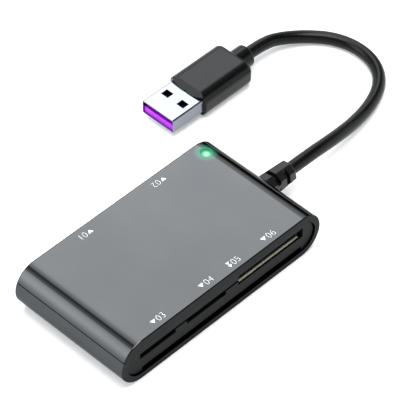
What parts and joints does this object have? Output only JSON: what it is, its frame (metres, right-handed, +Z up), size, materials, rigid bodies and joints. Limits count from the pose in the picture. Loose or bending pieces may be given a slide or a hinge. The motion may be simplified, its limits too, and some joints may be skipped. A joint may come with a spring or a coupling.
{
  "type": "usb memory card reader",
  "caption": "Slim round-ended card reader with slotted panels front and back, a status light, and a short lead with a plug.",
  "frame": {"origin": "middle of the case's underside, which lies on the table", "axes": "+X towards the lead's end, +Y towards the back, away from the front row of slots, +Z up"},
  "size_m": [0.1347, 0.0678, 0.0138],
  "materials": {
    "upper_case": "moulded ABS under a dark gunmetal lacquer",
    "lower_case": "moulded ABS under a dark gunmetal lacquer",
    "panel": "moulded black ABS, spark-eroded grain",
    "light_pipe": "clear acrylic lit green from below",
    "lamp": "surface-mount lamp in white plastic",
    "board": "glass-epoxy board with green solder resist",
    "chip": "black moulded epoxy",
    "capacitor": "fired ceramic",
    "socket_plastic": "black glass-filled nylon",
    "socket_steel": "folded stainless sheet",
    "contact": "gold-flashed phosphor bronze",
    "core": "PVC insulation",
    "boot": "moulded black PVC",
    "cable": "extruded black PVC",
    "grip": "moulded black PVC, satin",
    "plug_steel": "nickel-plated steel",
    "insulator": "moulded violet PBT"
  },
  "bodies": {
    "root": {"upper_shell": "upper_case", "lower_shell": "lower_case", "front_panel": "panel", "rear_panel": "panel", "light_pipe": "light_pipe", "main_board": "board", "reader_chip": "chip", "chip_card_controller": "chip", "crystal": "socket_steel", "board_capacitors": "capacitor", "status_led": "lamp", "chip_card_connector": "socket_plastic", "chip_card_contacts": "contact", "large_card_tray": "socket_plastic", "large_card_cover": "socket_steel", "large_card_contacts": "contact", "phone_card_tray": "socket_plastic", "phone_card_cover": "socket_steel", "phone_card_contacts": "contact", "micro_card_tray": "socket_plastic", "micro_card_cover": "socket_steel", "micro_card_contacts": "contact", "mini_stick_tray": "socket_plastic", "mini_stick_cover": "socket_steel", "mini_stick_contacts": "contact", "stick_card_tray": "socket_plastic", "stick_card_cover": "socket_steel", "stick_card_contacts": "contact", "cable_cores": "core", "strain_relief": "boot", "cable": "cable", "plug_overmould": "grip", "plug_shell": "plug_steel", "plug_insulator": "insulator", "plug_contacts": "contact"}
  },
  "joints": []
}
